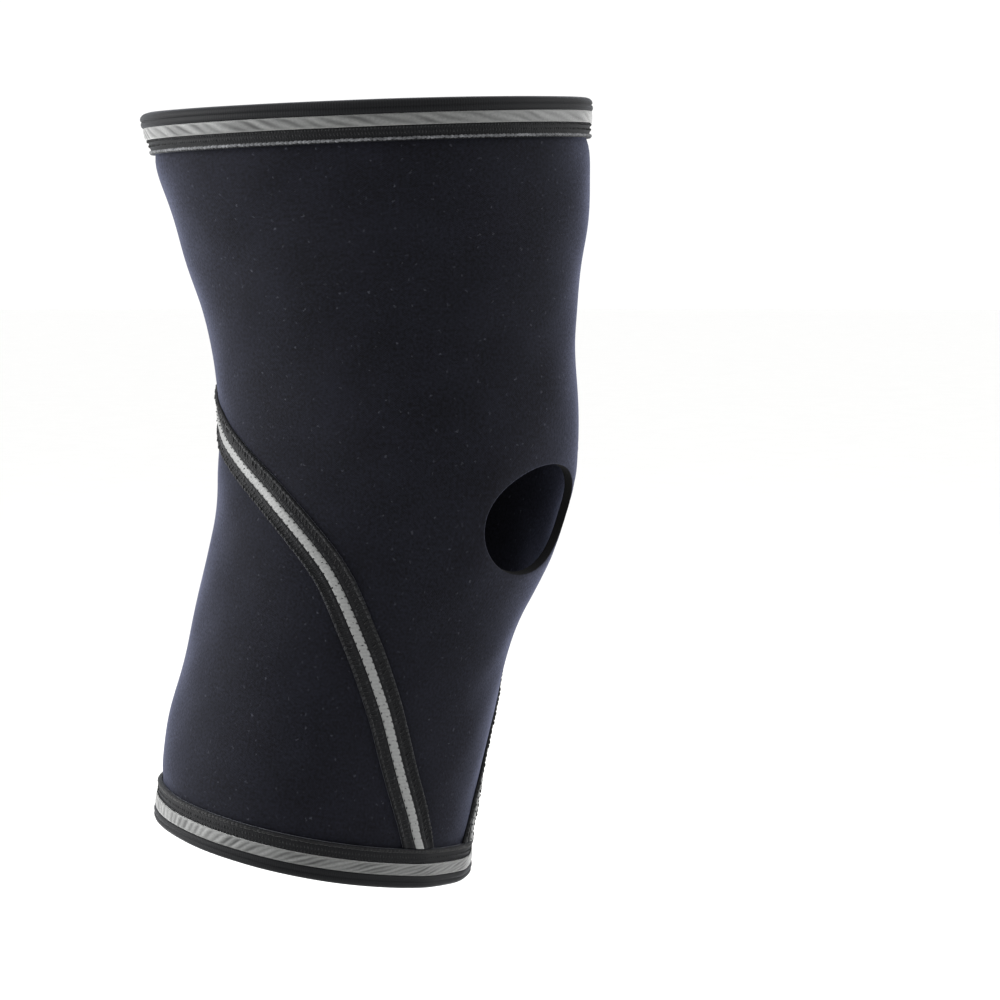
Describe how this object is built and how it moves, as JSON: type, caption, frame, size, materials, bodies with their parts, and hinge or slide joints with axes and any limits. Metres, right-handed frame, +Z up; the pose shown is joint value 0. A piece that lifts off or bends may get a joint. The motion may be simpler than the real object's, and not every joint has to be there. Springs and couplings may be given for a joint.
{
  "type": "open-patella knee sleeve",
  "caption": "Neoprene knee sleeve with an open kneecap, a taped seam that arches over the back of the knee and a folded striped binding at each rim.",
  "frame": {"origin": "in the hollow, on the centreline of the sleeve, behind the widest line of the kneecap opening", "axes": "+Z up the sleeve to its thigh end, -Y to its front with the kneecap opening, and X across, from side to side"},
  "size_m": [0.158, 0.1648, 0.2833],
  "materials": {
    "neoprene_navy": "matt knitted face on foam",
    "woven_black": "matt woven tape",
    "woven_grey": "ribbed woven stripe"
  },
  "bodies": {
    "root": {"front_panel": "neoprene_navy", "calf_panel": "neoprene_navy", "seam_tape": "woven_black", "seam_stripe": "woven_grey", "thigh_binding": "woven_black", "thigh_stripe": "woven_grey", "calf_binding": "woven_black", "calf_stripe": "woven_grey"}
  },
  "joints": []
}
